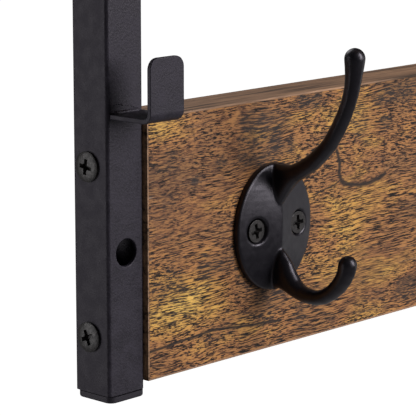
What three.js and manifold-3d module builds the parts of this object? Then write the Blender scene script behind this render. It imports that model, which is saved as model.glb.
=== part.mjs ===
// Wall-mounted hall tree: a hook board and a hat shelf held between two welded steel side frames.
// Millimetres, +Z up. X runs along the boards and the front faces -Y.
// The origin is the centre of the hook board's rear face, which lies against the wall.

import * as THREE from 'three';
import { mergeVertices } from 'three/addons/utils/BufferGeometryUtils.js';
import Module from 'manifold-3d';

const wasm = await Module();
wasm.setup();

// Boards
const BOARD_LENGTH = 570;
const BOARD_THICKNESS = 18;
const HOOK_BOARD_HEIGHT = 81;
const SHELF_DEPTH = 200;
const EDGE_BAND = 0.6;

// Square steel tube
const TUBE = 15;
const TUBE_WALL = 1.2;
const TUBE_CORNER = 1;

// Side frames
const FRAME_HEIGHT = 290;
const POST_BELOW_BOARD = 2.3;
const BRACE_REACH = 85;
const BRACE_RISE = 85;
const WELD_GAP = 0.3;

// Holes for the wall screws: the head passes the front wall and clamps the rear wall
const WALL_SCREW_ACCESS = 8.4;
const WALL_SCREW_HOLE = 5;
const UPPER_HOLE_BELOW_BRACE = 32;
const POST_HOLES_RAISE = 0.5;

// Plastic end caps
const CAP_FLANGE = 2;
const CAP_GAP = 0.4;
const CAP_CORNER = 2.5;
const CAP_INSERT = 10;
const CAP_INSERT_WALL = 1.4;
const CAP_CLEARANCE = 0.2;
const CAP_SHIFT = 0.5;

// Flat strip hooks welded to the posts
const STRIP_THICKNESS = 1.5;
const STRIP_REACH = 16.9;
const STRIP_HEIGHT = 19.3;
const STRIP_BEND = 3.2;
const STRIP_CORNER = 2.5;
const STRIP_ABOVE_BOARD = 0.9;

// Screws through the tubes into the ends of the boards
const SIDE_SCREW_HEAD = 9.2;
const SIDE_SCREW_HEAD_HEIGHT = 1.5;
const SIDE_SCREW_SHANK = 4.8;
const SIDE_SCREW_GRIP = 32;
const SIDE_SCREW_POINT = 5;
const SIDE_SCREW_SPACING = 52;
const SIDE_SCREW_BACK = 0.9;
const SHELF_SCREW_INSET = 45;

// Double coat hooks
const HOOK_COUNT = 5;
const HOOK_END_MARGIN = 55.5;
const HOOK_DROP = 0.5;
const HOOK_BASE_WIDTH = 35;
const HOOK_BASE_HEIGHT = 41;
const HOOK_EDGE_THICKNESS = 2;
const HOOK_RIDGE_THICKNESS = 5;

// Prong centre lines: control points as distance from the board and height over the base's centre
const UPPER_PRONG = [[2.5, 16.3], [17.2, 17.5], [34.9, 35.7], [33.7, 56.4]];
const LOWER_PRONG = [[2.5, -13.2], [18.7, -28.3], [31.5, -16.2], [32, -8]];
const UPPER_BALL_RADIUS = 3.2;
const LOWER_BALL_RADIUS = 2.9;
const PRONG_RADIUS = 2.4;
const UPPER_ROOT_HALF_HEIGHT = 4.3;
const LOWER_ROOT_HALF_HEIGHT = 6;
const PRONG_ROOT_SHARE = 0.4;

// Screws through the coat hooks into the hook board
const HOOK_SCREW_SPACING = 19.8;
const HOOK_SCREW_HEAD = 7.2;
const HOOK_SCREW_SHANK = 3.5;
const HOOK_SCREW_SINK = 0.3;
const HOOK_SCREW_COVER = 4;
const COUNTERSINK = 8.4;
const HEAD_RIM = 0.2;

// Phillips recess and the fits between pieces
const RECESS_SHARE = 0.52;
const RECESS_WIDTH = 1.1;
const RECESS_DEPTH = 1.5;
const SCREW_CLEARANCE = 0.3;
const PILOT_CLEARANCE = 0.15;

// How finely round shapes are cut
const CORNER_STEPS = 2;
const BORE_SIDES = 12;
const PRONG_SIDES = 8;
const PRONG_STEPS = 10;
const BASE_SIDES = 12;

// Places that follow from the sizes
const HALF_LENGTH = BOARD_LENGTH / 2;
const POST_X = HALF_LENGTH + TUBE / 2;
const POST_Y = -BOARD_THICKNESS / 2;
const POST_FRONT = POST_Y - TUBE / 2;
const POST_BOTTOM = -HOOK_BOARD_HEIGHT / 2 - POST_BELOW_BOARD;
const ARM_Z = POST_BOTTOM + FRAME_HEIGHT - TUBE / 2;
const ARM_FRONT = -(SHELF_DEPTH - CAP_FLANGE - CAP_GAP);
const BRACE_FOOT = ARM_Z - TUBE / 2 - WELD_GAP - BRACE_RISE;
const LOWER_HOLE_Z = POST_HOLES_RAISE;
const UPPER_HOLE_Z = BRACE_FOOT - UPPER_HOLE_BELOW_BRACE;
const HOOK_PITCH = (BOARD_LENGTH - 2 * HOOK_END_MARGIN) / (HOOK_COUNT - 1);
const SIDES = [{ name: 'left', sign: -1 }, { name: 'right', sign: 1 }];

// Finishes
const powderCoat = new THREE.MeshStandardMaterial({ color: 0x2c2c30, roughness: 0.55, metalness: 0.3 });
const castHook = new THREE.MeshStandardMaterial({ color: 0x1c1c1e, roughness: 0.35, metalness: 0.3 });
const blackScrew = new THREE.MeshStandardMaterial({ color: 0x262627, roughness: 0.45, metalness: 0.6 });
const blackPlastic = new THREE.MeshStandardMaterial({ color: 0x151516, roughness: 0.5, metalness: 0 });
const rusticBoard = new THREE.MeshStandardMaterial({ color: 0x8a5c33, roughness: 0.6, metalness: 0 });
const rusticEdge = new THREE.MeshStandardMaterial({ color: 0x6f5540, roughness: 0.6, metalness: 0 });

const hallTree = new THREE.Group();

function addPiece(name, geometry, material) {
  const mesh = new THREE.Mesh(geometry, material);
  mesh.name = name;
  hallTree.add(mesh);
}

// ---- Solids and booleans ----

function solid(geometry) {
  const bare = geometry.clone();
  bare.deleteAttribute('normal');
  bare.deleteAttribute('uv');
  const merged = mergeVertices(bare, 1e-4);
  return new wasm.Manifold(new wasm.Mesh({
    numProp: 3,
    vertProperties: new Float32Array(merged.attributes.position.array),
    triVerts: new Uint32Array(merged.index.array),
  }));
}

function geometryOf(manifold) {
  const mesh = manifold.getMesh();
  const geometry = new THREE.BufferGeometry();
  geometry.setAttribute('position', new THREE.BufferAttribute(mesh.vertProperties, 3));
  geometry.setIndex(new THREE.BufferAttribute(mesh.triVerts, 1));
  geometry.computeVertexNormals();
  return geometry;
}

function cut(geometry, tools) {
  return geometryOf(tools.reduce((rest, tool) => rest.subtract(solid(tool)), solid(geometry)));
}

function join(geometries) {
  const [first, ...others] = geometries.map(solid);
  return geometryOf(others.reduce((sum, other) => sum.add(other), first));
}

function mirroredX(geometry) {
  const copy = geometry.clone();
  copy.scale(-1, 1, 1);
  const index = copy.index ? [...copy.index.array] : [...Array(copy.attributes.position.count).keys()];
  for (let i = 0; i < index.length; i += 3) {
    [index[i + 1], index[i + 2]] = [index[i + 2], index[i + 1]];
  }
  copy.setIndex(index);
  return copy;
}

// A piece drawn for the right side, turned to face the other way on the left
function onSide(geometry, sign) {
  return sign > 0 ? geometry : mirroredX(geometry);
}

function box(minX, maxX, minY, maxY, minZ, maxZ) {
  const geometry = new THREE.BoxGeometry(maxX - minX, maxY - minY, maxZ - minZ);
  return geometry.translate((minX + maxX) / 2, (minY + maxY) / 2, (minZ + maxZ) / 2);
}

// Round bars for bores, from one coordinate to another along an axis
function barX(diameter, from, to, y, z) {
  const geometry = new THREE.CylinderGeometry(diameter / 2, diameter / 2, to - from, BORE_SIDES);
  return geometry.rotateZ(-Math.PI / 2).translate((from + to) / 2, y, z);
}

function barY(diameter, from, to, x, z) {
  const geometry = new THREE.CylinderGeometry(diameter / 2, diameter / 2, to - from, BORE_SIDES);
  return geometry.translate(x, (from + to) / 2, z);
}

// ---- Square tube ----

function roundedSquare(size, radius, path = new THREE.Shape()) {
  const inner = size / 2 - radius;
  path.moveTo(inner, -size / 2);
  path.absarc(inner, -inner, radius, -Math.PI / 2, 0, false);
  path.absarc(inner, inner, radius, 0, Math.PI / 2, false);
  path.absarc(-inner, inner, radius, Math.PI / 2, Math.PI, false);
  path.absarc(-inner, -inner, radius, Math.PI, 1.5 * Math.PI, false);
  path.closePath();
  return path;
}

// Tube along +Z from 0 to length on its centre line. Each end slopes by a share of y, for a mitre.
function tube(length, startSlope, endSlope) {
  const section = roundedSquare(TUBE, TUBE_CORNER);
  const boreRadius = Math.max(TUBE_CORNER - TUBE_WALL, 0.3);
  section.holes.push(roundedSquare(TUBE - 2 * TUBE_WALL, boreRadius, new THREE.Path()));
  const geometry = new THREE.ExtrudeGeometry(section, {
    depth: length, bevelEnabled: false, steps: 1, curveSegments: CORNER_STEPS,
  });
  const point = geometry.attributes.position;
  for (let i = 0; i < point.count; i += 1) {
    const slope = point.getZ(i) > length / 2 ? endSlope : startSlope;
    point.setZ(i, point.getZ(i) + slope * point.getY(i));
  }
  return geometry;
}

// ---- Screws ----

function phillips(reach, depth, top) {
  const half = reach / 2;
  const width = RECESS_WIDTH / 2;
  return [
    box(-half, half, top - depth, top + 1, -width, width),
    box(-width, width, top - depth, top + 1, -half, half),
  ];
}

// Pan-head screw along Y: the head's seat at y = 0 and the point towards -Y
function panHeadScrew(length) {
  const radius = SIDE_SCREW_HEAD / 2;
  const shank = SIDE_SCREW_SHANK / 2;
  const profile = new THREE.Path();
  profile.moveTo(0, -length);
  profile.lineTo(shank, -length + SIDE_SCREW_POINT);
  profile.lineTo(shank, 0);
  profile.lineTo(radius, 0);
  profile.lineTo(radius, SIDE_SCREW_HEAD_HEIGHT * 0.55);
  profile.quadraticCurveTo(
    radius * 0.92, SIDE_SCREW_HEAD_HEIGHT * 0.95, 0, SIDE_SCREW_HEAD_HEIGHT);
  const head = new THREE.LatheGeometry(profile.getPoints(4), BORE_SIDES);
  return cut(head, phillips(SIDE_SCREW_HEAD * RECESS_SHARE, RECESS_DEPTH, SIDE_SCREW_HEAD_HEIGHT));
}

// Countersunk screw along Y: the head's flat top at y = 0 and the point towards -Y
function countersunkScrew(length) {
  const radius = HOOK_SCREW_HEAD / 2;
  const shank = HOOK_SCREW_SHANK / 2;
  const cone = radius - shank;
  const profile = [
    [0, -length], [shank, -length + HOOK_SCREW_SHANK], [shank, -cone - HEAD_RIM],
    [radius, -HEAD_RIM], [radius, 0], [0, 0],
  ].map(([x, y]) => new THREE.Vector2(x, y));
  const blank = new THREE.LatheGeometry(profile, BORE_SIDES);
  return cut(blank, phillips(HOOK_SCREW_HEAD * RECESS_SHARE, RECESS_DEPTH, 0));
}

// ---- Boards ----

// A board of particle board with a thin band on each of its four edges. The long edges face
// along the axis given as edgeAxis, and the pilot holes run through the end bands.
function addBoard(name, lowest, highest, edgeAxis, endBores, faceBores) {
  const core = { min: [...lowest], max: [...highest] };
  const end = { min: [...lowest], max: [...highest] };
  [0, edgeAxis].forEach((axis) => {
    core.min[axis] += EDGE_BAND;
    core.max[axis] -= EDGE_BAND;
  });
  end.min[edgeAxis] += EDGE_BAND;
  end.max[edgeAxis] -= EDGE_BAND;
  const block = (min, max) => box(min[0], max[0], min[1], max[1], min[2], max[2]);
  const withAxis = (corner, axis, value) => corner.map((old, i) => (i === axis ? value : old));
  addPiece(`${name}_core`, cut(block(core.min, core.max), [...endBores, ...faceBores]), rusticBoard);
  const [low, high] = edgeAxis === 1 ? ['front', 'rear'] : ['bottom', 'top'];
  addPiece(`${name}_band_${low}`,
    block(lowest, withAxis(highest, edgeAxis, core.min[edgeAxis])), rusticEdge);
  addPiece(`${name}_band_${high}`,
    block(withAxis(lowest, edgeAxis, core.max[edgeAxis]), highest), rusticEdge);
  addPiece(`${name}_band_left`,
    cut(block(end.min, withAxis(end.max, 0, core.min[0])), endBores), rusticEdge);
  addPiece(`${name}_band_right`,
    cut(block(withAxis(end.min, 0, core.max[0]), end.max), endBores), rusticEdge);
}

// Pilot holes in both ends of a board, at the screws that hold it
function endBores(places) {
  const diameter = SIDE_SCREW_SHANK + 2 * PILOT_CLEARANCE;
  const depth = SIDE_SCREW_GRIP + 1;
  return SIDES.flatMap(({ sign }) => places.map(([y, z]) => {
    const [from, to] = [sign * HALF_LENGTH + sign, sign * (HALF_LENGTH - depth)].sort((a, b) => a - b);
    return barX(diameter, from, to, y, z);
  }));
}

const hookPlaces = Array.from({ length: HOOK_COUNT },
  (_, i) => -HALF_LENGTH + HOOK_END_MARGIN + i * HOOK_PITCH);
const hookBoardScrews = [1, -1].map(
  (end) => [POST_Y + SIDE_SCREW_BACK, LOWER_HOLE_Z + end * SIDE_SCREW_SPACING / 2]);
const shelfScrews = [[-SHELF_SCREW_INSET, ARM_Z], [-SHELF_DEPTH + SHELF_SCREW_INSET, ARM_Z]];

function hookScrewPlaces() {
  return hookPlaces.flatMap((x) => [x - HOOK_SCREW_SPACING / 2, x + HOOK_SCREW_SPACING / 2]);
}

function addBoards() {
  const faceBores = hookScrewPlaces().map((x) => barY(
    HOOK_SCREW_SHANK + 2 * PILOT_CLEARANCE,
    -BOARD_THICKNESS - 1, -HOOK_SCREW_COVER + PILOT_CLEARANCE, x, -HOOK_DROP));
  addBoard('hook_board',
    [-HALF_LENGTH, -BOARD_THICKNESS, -HOOK_BOARD_HEIGHT / 2],
    [HALF_LENGTH, 0, HOOK_BOARD_HEIGHT / 2],
    2, endBores(hookBoardScrews), faceBores);
  addBoard('shelf',
    [-HALF_LENGTH, -SHELF_DEPTH, ARM_Z - BOARD_THICKNESS / 2],
    [HALF_LENGTH, 0, ARM_Z + BOARD_THICKNESS / 2],
    1, endBores(shelfScrews), []);
}

// ---- Side frames ----

function sideScrewBores(places) {
  return places.map(([y, z]) => barX(
    SIDE_SCREW_SHANK + 2 * SCREW_CLEARANCE, HALF_LENGTH - 1, HALF_LENGTH + TUBE + 1, y, z));
}

function post() {
  const length = ARM_Z - POST_BOTTOM;
  const blank = tube(length, 0, 1).translate(POST_X, POST_Y, POST_BOTTOM);
  const wallScrewBores = [LOWER_HOLE_Z, UPPER_HOLE_Z].flatMap((z) => [
    barY(WALL_SCREW_ACCESS, POST_FRONT - 1, POST_Y, POST_X, z),
    barY(WALL_SCREW_HOLE, POST_Y, 0, POST_X, z),
  ]);
  return cut(blank, [...wallScrewBores, ...sideScrewBores(hookBoardScrews)]);
}

function arm() {
  const length = POST_Y - WELD_GAP - ARM_FRONT;
  const blank = tube(length, -1, 0).rotateX(Math.PI / 2);
  return cut(blank.translate(POST_X, POST_Y - WELD_GAP, ARM_Z), sideScrewBores(shelfScrews));
}

function brace() {
  const angle = Math.atan2(BRACE_REACH, BRACE_RISE);
  const length = Math.hypot(BRACE_REACH, BRACE_RISE);
  const blank = tube(length, 1 / Math.tan(angle), -Math.tan(angle)).rotateX(angle);
  return blank.translate(POST_X, POST_FRONT - WELD_GAP, BRACE_FOOT);
}

// L-shaped strip: a plate out from the post, and an upright with rounded top corners
function stripHook() {
  const profile = new THREE.Shape();
  const outerBend = STRIP_BEND;
  const innerBend = STRIP_BEND - STRIP_THICKNESS;
  profile.moveTo(0, 0);
  profile.lineTo(STRIP_REACH - outerBend, 0);
  profile.absarc(STRIP_REACH - outerBend, outerBend, outerBend, -Math.PI / 2, 0, false);
  profile.lineTo(STRIP_REACH, STRIP_HEIGHT);
  profile.lineTo(STRIP_REACH - STRIP_THICKNESS, STRIP_HEIGHT);
  profile.absarc(STRIP_REACH - outerBend, outerBend, innerBend, 0, -Math.PI / 2, true);
  profile.lineTo(0, STRIP_THICKNESS);
  profile.closePath();
  const width = TUBE - TUBE_CORNER;
  const bent = new THREE.ExtrudeGeometry(profile, { depth: width, bevelEnabled: false, curveSegments: 6 });
  bent.rotateX(Math.PI / 2).rotateZ(-Math.PI / 2).translate(width, 0, 0);
  const strip = geometryOf(solid(bent).intersect(solid(stripOutline(width))));
  return strip.translate(HALF_LENGTH, POST_FRONT, HOOK_BOARD_HEIGHT / 2 + STRIP_ABOVE_BOARD);
}

// The strip's front outline as a thick plate, to round the upright's top corners
function stripOutline(width) {
  const outline = new THREE.Shape();
  outline.moveTo(0, -1);
  outline.lineTo(width, -1);
  outline.lineTo(width, STRIP_HEIGHT - STRIP_CORNER);
  outline.absarc(width - STRIP_CORNER, STRIP_HEIGHT - STRIP_CORNER, STRIP_CORNER, 0, Math.PI / 2, false);
  outline.absarc(STRIP_CORNER, STRIP_HEIGHT - STRIP_CORNER, STRIP_CORNER, Math.PI / 2, Math.PI, false);
  outline.closePath();
  const plate = new THREE.ExtrudeGeometry(outline, {
    depth: STRIP_REACH + 2, bevelEnabled: false, curveSegments: 6,
  });
  return plate.rotateX(Math.PI / 2).translate(0, 1, 0);
}

// Cap for a tube that ends at z = 0 above it: a flange under the tube and a hollow insert in it.
// The flange may sit a little off the tube's centre.
function endCap(shift) {
  const insertSize = TUBE - 2 * TUBE_WALL - 2 * CAP_CLEARANCE;
  const flange = new THREE.ExtrudeGeometry(roundedSquare(TUBE, CAP_CORNER), {
    depth: CAP_FLANGE, bevelEnabled: false, curveSegments: CORNER_STEPS,
  });
  flange.translate(-shift, 0, -CAP_GAP - CAP_FLANGE);
  const section = roundedSquare(insertSize, TUBE_CORNER);
  section.holes.push(roundedSquare(insertSize - 2 * CAP_INSERT_WALL, TUBE_CORNER, new THREE.Path()));
  const insert = new THREE.ExtrudeGeometry(section, {
    depth: CAP_GAP + CAP_FLANGE / 2 + CAP_INSERT, bevelEnabled: false, curveSegments: 1,
  });
  insert.translate(0, 0, -CAP_GAP - CAP_FLANGE / 2);
  return join([flange, insert]);
}

function addSideFrame({ name, sign }) {
  const postCap = endCap(CAP_SHIFT).translate(POST_X, POST_Y, POST_BOTTOM);
  const armCap = endCap(0).rotateX(-Math.PI / 2).translate(POST_X, ARM_FRONT, ARM_Z);
  addPiece(`${name}_post`, onSide(post(), sign), powderCoat);
  addPiece(`${name}_arm`, onSide(arm(), sign), powderCoat);
  addPiece(`${name}_brace`, onSide(brace(), sign), powderCoat);
  addPiece(`${name}_strip_hook`, onSide(stripHook(), sign), powderCoat);
  addPiece(`${name}_post_cap`, onSide(postCap, sign), blackPlastic);
  addPiece(`${name}_arm_cap`, onSide(armCap, sign), blackPlastic);
}

function addSideScrews({ name, sign }) {
  const addRow = (row, places) => places.forEach(([y, z], i) => {
    const screw = panHeadScrew(TUBE + SIDE_SCREW_GRIP).rotateZ(-Math.PI / 2);
    screw.translate(HALF_LENGTH + TUBE, y, z);
    addPiece(`${name}_${row}_screw_${i + 1}`, onSide(screw, sign), blackScrew);
  });
  addRow('board', hookBoardScrews);
  addRow('shelf', shelfScrews);
}

// ---- Coat hooks ----

// Oval plate with its rear face on y = 0: two flat facets meet at a vertical ridge
function hookBase() {
  const outline = new THREE.Shape();
  outline.absellipse(0, 0, HOOK_BASE_WIDTH / 2, HOOK_BASE_HEIGHT / 2, 0, 2 * Math.PI, false, 0);
  const plate = new THREE.ExtrudeGeometry(outline, {
    depth: HOOK_RIDGE_THICKNESS + 1, bevelEnabled: false, curveSegments: BASE_SIDES,
  }).rotateX(Math.PI / 2);
  const half = HOOK_BASE_WIDTH / 2;
  const margin = 1;
  const edge = hookFacet(half + margin);
  const gable = new THREE.Shape();
  gable.moveTo(-half - margin, 0);
  gable.lineTo(half + margin, 0);
  gable.lineTo(half + margin, edge);
  gable.lineTo(0, HOOK_RIDGE_THICKNESS);
  gable.lineTo(-half - margin, edge);
  gable.closePath();
  const roof = new THREE.ExtrudeGeometry(gable, { depth: HOOK_BASE_HEIGHT + 2, bevelEnabled: false });
  roof.translate(0, 0, -HOOK_BASE_HEIGHT / 2 - 1).rotateX(Math.PI);
  return solid(plate).intersect(solid(roof));
}

// Thickness of the base at a distance from its ridge
function hookFacet(distance) {
  const fall = (HOOK_RIDGE_THICKNESS - HOOK_EDGE_THICKNESS) / (HOOK_BASE_WIDTH / 2);
  return HOOK_RIDGE_THICKNESS - fall * distance;
}

// Prong along a Bezier curve in the plane x = 0, closed at both ends. Its section is an ellipse
// at the root and narrows to a round bar.
function prong(controls, rootHalfHeight) {
  const points = controls.map(([out, up]) => new THREE.Vector3(0, -out, up));
  const curve = new THREE.CubicBezierCurve3(...points);
  const position = [];
  const index = [];
  for (let step = 0; step <= PRONG_STEPS; step += 1) {
    const share = step / PRONG_STEPS;
    const centre = curve.getPointAt(share);
    const along = curve.getTangentAt(share);
    const flare = Math.max(0, 1 - share / PRONG_ROOT_SHARE) ** 2;
    const halfHeight = PRONG_RADIUS + (rootHalfHeight - PRONG_RADIUS) * flare;
    for (let side = 0; side < PRONG_SIDES; side += 1) {
      const angle = (2 * Math.PI * side) / PRONG_SIDES;
      const rise = halfHeight * Math.cos(angle);
      position.push(PRONG_RADIUS * Math.sin(angle), centre.y - along.z * rise, centre.z + along.y * rise);
    }
  }
  const at = (step, side) => step * PRONG_SIDES + (side % PRONG_SIDES);
  for (let side = 0; side < PRONG_SIDES; side += 1) {
    for (let step = 0; step < PRONG_STEPS; step += 1) {
      index.push(at(step, side), at(step, side + 1), at(step + 1, side + 1));
      index.push(at(step, side), at(step + 1, side + 1), at(step + 1, side));
    }
    if (side > 0 && side < PRONG_SIDES - 1) {
      index.push(at(0, 0), at(0, side + 1), at(0, side));
      index.push(at(PRONG_STEPS, 0), at(PRONG_STEPS, side), at(PRONG_STEPS, side + 1));
    }
  }
  const geometry = new THREE.BufferGeometry();
  geometry.setAttribute('position', new THREE.Float32BufferAttribute(position, 3));
  geometry.setIndex(index);
  return geometry;
}

function ballTip([out, up], radius) {
  return new THREE.SphereGeometry(radius, PRONG_SIDES, PRONG_SIDES / 2 + 1).translate(0, -out, up);
}

// Screw hole through the base, with a cone that keeps a gap all round the screw's head
function countersink(headTop) {
  const gap = (COUNTERSINK - HOOK_SCREW_HEAD) / 2;
  const hole = HOOK_SCREW_SHANK / 2 + gap;
  const cone = (HOOK_SCREW_HEAD - HOOK_SCREW_SHANK) / 2;
  const deep = -headTop - cone - 2;
  const clear = HOOK_RIDGE_THICKNESS;
  const profile = [
    [0, deep], [hole, deep], [hole, -cone - HEAD_RIM],
    [COUNTERSINK / 2, -HEAD_RIM], [COUNTERSINK / 2, clear], [0, clear],
  ].map(([x, y]) => new THREE.Vector2(x, y));
  return new THREE.LatheGeometry(profile, BORE_SIDES).rotateX(Math.PI).translate(0, -headTop, 0);
}

function addHooks() {
  const headTop = hookFacet(HOOK_SCREW_SPACING / 2) - HOOK_SCREW_SINK;
  const screwLength = headTop + BOARD_THICKNESS - HOOK_SCREW_COVER;
  const upperTip = UPPER_PRONG[UPPER_PRONG.length - 1];
  const lowerTip = LOWER_PRONG[LOWER_PRONG.length - 1];
  const hole = countersink(headTop);
  const size = HOOK_BASE_HEIGHT;
  const behindBase = box(-size, size, 0, size, -size, size);
  const whole = [
    prong(UPPER_PRONG, UPPER_ROOT_HALF_HEIGHT),
    prong(LOWER_PRONG, LOWER_ROOT_HALF_HEIGHT),
    ballTip(upperTip, UPPER_BALL_RADIUS),
    ballTip(lowerTip, LOWER_BALL_RADIUS),
  ].reduce((sum, piece) => sum.add(solid(piece)), hookBase());
  const hook = cut(geometryOf(whole), [
    behindBase,
    hole.clone().translate(-HOOK_SCREW_SPACING / 2, 0, 0),
    hole.clone().translate(HOOK_SCREW_SPACING / 2, 0, 0),
  ]);
  const screw = countersunkScrew(screwLength).rotateX(Math.PI).translate(0, -headTop, 0);
  hookPlaces.forEach((x, i) => {
    const name = `coat_hook_${i + 1}`;
    addPiece(name, hook.clone().translate(x, -BOARD_THICKNESS, -HOOK_DROP), castHook);
    [['left', -1], ['right', 1]].forEach(([side, sign]) => {
      const place = screw.clone().translate(
        x + sign * HOOK_SCREW_SPACING / 2, -BOARD_THICKNESS, -HOOK_DROP);
      addPiece(`${name}_screw_${side}`, place, blackScrew);
    });
  });
}

addBoards();
SIDES.forEach(addSideFrame);
SIDES.forEach(addSideScrews);
addHooks();

export default hallTree;
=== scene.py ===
"""Wall-mounted coat rack with a hat shelf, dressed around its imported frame.

Each operator models one group of like pieces in place of the plain frame nodes, gives them
their finish and sets them on the frame. Metres, +Z up. X runs along the boards, the front
faces -Y and the wall is at y = 0.
"""

import contextlib
import math

import bmesh
import bpy
from mathutils import Matrix, Vector


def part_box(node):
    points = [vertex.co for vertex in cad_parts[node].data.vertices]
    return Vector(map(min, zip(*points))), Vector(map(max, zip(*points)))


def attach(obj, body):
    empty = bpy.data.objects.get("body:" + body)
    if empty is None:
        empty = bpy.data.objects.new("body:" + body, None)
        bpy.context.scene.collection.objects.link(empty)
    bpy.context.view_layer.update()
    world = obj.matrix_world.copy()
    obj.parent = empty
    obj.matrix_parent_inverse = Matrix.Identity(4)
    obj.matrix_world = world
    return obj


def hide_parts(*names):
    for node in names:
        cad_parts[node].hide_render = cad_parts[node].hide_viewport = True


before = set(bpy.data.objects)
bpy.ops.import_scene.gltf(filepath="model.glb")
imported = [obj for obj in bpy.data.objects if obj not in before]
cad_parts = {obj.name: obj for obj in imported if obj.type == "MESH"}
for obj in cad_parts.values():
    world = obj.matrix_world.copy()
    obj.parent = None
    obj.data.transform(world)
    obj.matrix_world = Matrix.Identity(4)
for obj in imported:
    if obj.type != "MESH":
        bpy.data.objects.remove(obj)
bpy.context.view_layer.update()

bl_info = {
    "name": "Coat Rack Pieces",
    "version": (1, 0, 0),
    "blender": (4, 5, 0),
    "location": "View3D > Sidebar > Coat Rack",
    "description": "Models the steel, boards, hooks and screws of a wall-mounted coat rack",
    "category": "Object",
}

BODY = "root"
MM = 0.001

# Places taken from the frame
POST_LOW, POST_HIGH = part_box("left_post")
ARM_LOW, ARM_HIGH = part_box("left_arm")
BRACE_LOW, BRACE_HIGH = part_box("left_brace")
STRIP_LOW, STRIP_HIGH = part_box("left_strip_hook")
POST_CAP_LOW, POST_CAP_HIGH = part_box("left_post_cap")
ARM_CAP_LOW, ARM_CAP_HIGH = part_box("left_arm_cap")
BOARD_LOW, BOARD_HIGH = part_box("hook_board_core")
SHELF_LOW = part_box("shelf_core")[0]
HOOK_NODES = sorted(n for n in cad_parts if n.startswith("coat_hook_") and "screw" not in n)
SIDE_SCREWS = sorted(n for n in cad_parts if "board_screw" in n or "shelf_screw" in n)
HOOK_SCREWS = sorted(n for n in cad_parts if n.startswith("coat_hook_") and "screw" in n)
BANDS = sorted(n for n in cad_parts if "_band_" in n)
TUBE = POST_HIGH.x - POST_LOW.x
POST_X = (POST_LOW.x + POST_HIGH.x) / 2
POST_Y = (POST_LOW.y + POST_HIGH.y) / 2
ARM_Z = (ARM_LOW.z + ARM_HIGH.z) / 2
BRACE_FOOT = Vector((POST_X, BRACE_HIGH.y, BRACE_LOW.z + TUBE / math.sqrt(2)))
BRACE_TIP = Vector((POST_X, BRACE_LOW.y + TUBE / math.sqrt(2), BRACE_HIGH.z))
BOARD_FRONT = BOARD_LOW.y
LOWER_HOLE_Z = (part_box("left_board_screw_1")[0].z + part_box("left_board_screw_2")[1].z) / 2
FAR = 1.0
NEAR = 1e-5


def centre_of(node):
    """The middle of a frame node's box."""
    low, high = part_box(node)
    return (low + high) / 2


def length(default, text):
    """A size in metres, given in millimetres."""
    return bpy.props.FloatProperty(
        description=text, default=default * MM, min=0, unit="LENGTH", precision=5)


def colour(default, text):
    return bpy.props.FloatVectorProperty(
        description=text, default=default, min=0, max=1, size=3, subtype="COLOR")


class RackSizes(bpy.types.PropertyGroup):
    tube_wall: length(1.2, "Wall thickness of the square steel tube")
    tube_corner: length(1.3, "Outside corner radius of the square tube")
    wall_access: length(8.4, "Front hole that a wall screw's head passes")
    wall_hole: length(5, "Rear hole that clamps under a wall screw's head")
    upper_hole_drop: length(32, "How far the upper wall hole is under the brace")
    hole_edge: length(0.35, "How far the coating rounds the edge of a hole")
    strip_thickness: length(1.5, "Thickness of the flat strip hooks")
    strip_bend: length(3.2, "Outer radius of the strip hook's bend")
    strip_corner: length(3.4, "Radius of the strip hook's top corners")
    strip_edge: length(0.3, "Rounding of the strip hook's sheared edges")
    weld_radius: length(0.9, "Radius of the weld beads")
    spatter: length(0.3, "Radius of the largest drop of weld spatter")
    side_bore: length(5.4, "Holes in the tubes for the side screws")
    pilot_hole: length(5.1, "Holes in the edge bands for the side screws")
    cap_flange: length(2, "Thickness of an end cap's flange")
    cap_corner: length(2.5, "Radius of an end cap's corners")
    cap_edge: length(0.5, "Rounding of an end cap's outer rim")
    cap_insert: length(12.2, "Width of the part of a cap that fills the tube")
    cap_wall: length(1.4, "Wall thickness of a cap's insert")
    band_edge: length(0.15, "Rounding of the edge bands")
    base_width: length(35, "Width of a coat hook's oval base")
    base_height: length(41, "Height of a coat hook's oval base")
    base_rim: length(2, "Thickness of the base at its rim")
    base_rise: length(3, "How far the base's ridge stands over the rim")
    cast_detail: length(0.27, "Smallest shape that the casting keeps")
    hook_screw_spacing: length(19.8, "Distance between a hook's screws")
    hook_screw_top: length(3.0, "Height of a hook screw's head over the board")
    countersink: length(8.4, "Width of the pocket round a hook screw")
    hook_hole: length(4.4, "Hole in the casting for a hook screw")
    pan_head: length(9.2, "Diameter of the side screws' pan heads")
    pan_height: length(1.15, "Height of the pan heads")
    flat_head: length(7.2, "Diameter of the hook screws' flat heads")
    side_shank: length(4.8, "Thread diameter of the side screws")
    side_pitch: length(2.2, "Thread pitch of the side screws")
    hook_shank: length(3.5, "Thread diameter of the hook screws")
    hook_pitch: length(1.6, "Thread pitch of the hook screws")
    recess_reach: length(5.9, "Distance across the cross recess")
    recess_width: length(1.55, "Width of the cross recess")
    recess_depth: length(1.75, "Depth of the cross recess")


class RackColours(bpy.types.PropertyGroup):
    steel: colour((0.0165, 0.0143, 0.0208), "Powder coat on the tubes and strips")
    casting: colour((0.006, 0.0055, 0.0075), "Enamel on the coat hooks")
    screw: colour((0.022, 0.0195, 0.0198), "Black oxide on the screws")
    plastic: colour((0.016, 0.0142, 0.019), "Moulded end caps")
    wood_gold: colour((0.44, 0.265, 0.088), "Golden tone of the board's print")
    wood_light: colour((0.325, 0.168, 0.058), "Orange tone of the board's print")
    wood_middle: colour((0.235, 0.104, 0.050), "Brown tone of the board's print")
    wood_deep: colour((0.165, 0.078, 0.043), "Red-brown tone of the board's print")
    wood_smoke: colour((0.032, 0.024, 0.022), "Charred tone of the board's print")
    wood_pale: colour((0.42, 0.30, 0.22), "Hairline scratches in the board's print")
    band: colour((0.252, 0.143, 0.084), "Grey-brown tone of the edge bands")


# ---- Modelling helpers ----

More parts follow.
